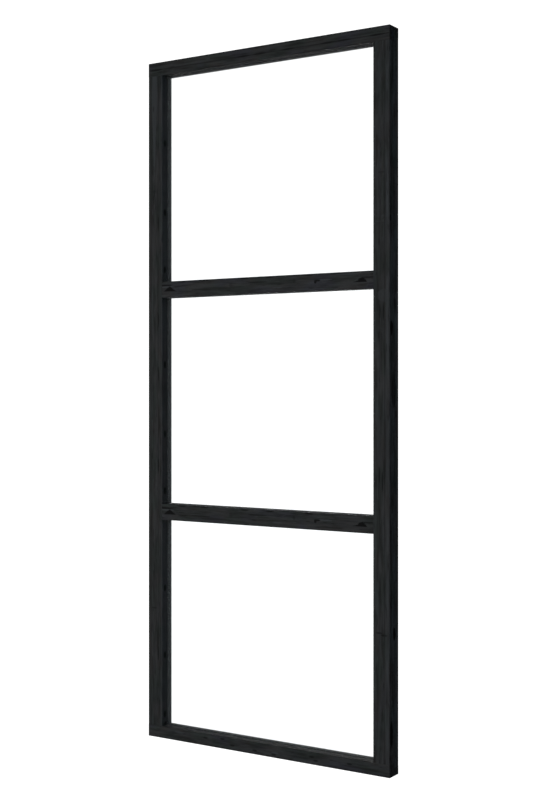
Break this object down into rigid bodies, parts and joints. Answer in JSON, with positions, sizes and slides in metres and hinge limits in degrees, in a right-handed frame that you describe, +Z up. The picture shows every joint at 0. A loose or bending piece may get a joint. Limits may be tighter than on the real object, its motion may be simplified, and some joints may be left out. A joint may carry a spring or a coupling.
{
  "type": "glass partition wall",
  "caption": "Tall slim glass partition panel: a black-stained softwood frame with two level transoms and clear panes, beaded from the back.",
  "frame": {"origin": "on the floor, under the middle of the frame's width and depth", "axes": "+X along the wall to the right as seen from the plain front, +Y from the front to the beaded back, +Z up"},
  "size_m": [0.947, 0.058, 2.34],
  "materials": {
    "stained_timber": "satin",
    "bead_timber": "satin",
    "clear_glass": "polished",
    "glazing_tape": "matte",
    "glazing_block": "matte",
    "brad_steel": "satin"
  },
  "bodies": {
    "root": {"left_stile": "stained_timber", "right_stile": "stained_timber", "top_rail": "stained_timber", "bottom_rail": "stained_timber", "upper_transom": "stained_timber", "lower_transom": "stained_timber", "lower_pane": "clear_glass", "lower_bottom_front_tape": "glazing_tape", "lower_bottom_back_tape": "glazing_tape", "lower_bottom_bead": "bead_timber", "lower_right_front_tape": "glazing_tape", "lower_right_back_tape": "glazing_tape", "lower_right_bead": "bead_timber", "lower_top_front_tape": "glazing_tape", "lower_top_back_tape": "glazing_tape", "lower_top_bead": "bead_timber", "lower_left_front_tape": "glazing_tape", "lower_left_back_tape": "glazing_tape", "lower_left_bead": "bead_timber", "lower_left_setting_block": "glazing_block", "lower_right_setting_block": "glazing_block", "lower_location_blocks": "glazing_block", "lower_bead_brads": "brad_steel", "middle_pane": "clear_glass", "middle_bottom_front_tape": "glazing_tape", "middle_bottom_back_tape": "glazing_tape", "middle_bottom_bead": "bead_timber", "middle_right_front_tape": "glazing_tape", "middle_right_back_tape": "glazing_tape", "middle_right_bead": "bead_timber", "middle_top_front_tape": "glazing_tape", "middle_top_back_tape": "glazing_tape", "middle_top_bead": "bead_timber", "middle_left_front_tape": "glazing_tape", "middle_left_back_tape": "glazing_tape", "middle_left_bead": "bead_timber", "middle_left_setting_block": "glazing_block", "middle_right_setting_block": "glazing_block", "middle_location_blocks": "glazing_block", "middle_bead_brads": "brad_steel", "upper_pane": "clear_glass", "upper_bottom_front_tape": "glazing_tape", "upper_bottom_back_tape": "glazing_tape", "upper_bottom_bead": "bead_timber", "upper_right_front_tape": "glazing_tape", "upper_right_back_tape": "glazing_tape", "upper_right_bead": "bead_timber", "upper_top_front_tape": "glazing_tape", "upper_top_back_tape": "glazing_tape", "upper_top_bead": "bead_timber", "upper_left_front_tape": "glazing_tape", "upper_left_back_tape": "glazing_tape", "upper_left_bead": "bead_timber", "upper_left_setting_block": "glazing_block", "upper_right_setting_block": "glazing_block", "upper_location_blocks": "glazing_block", "upper_bead_brads": "brad_steel"}
  },
  "joints": []
}
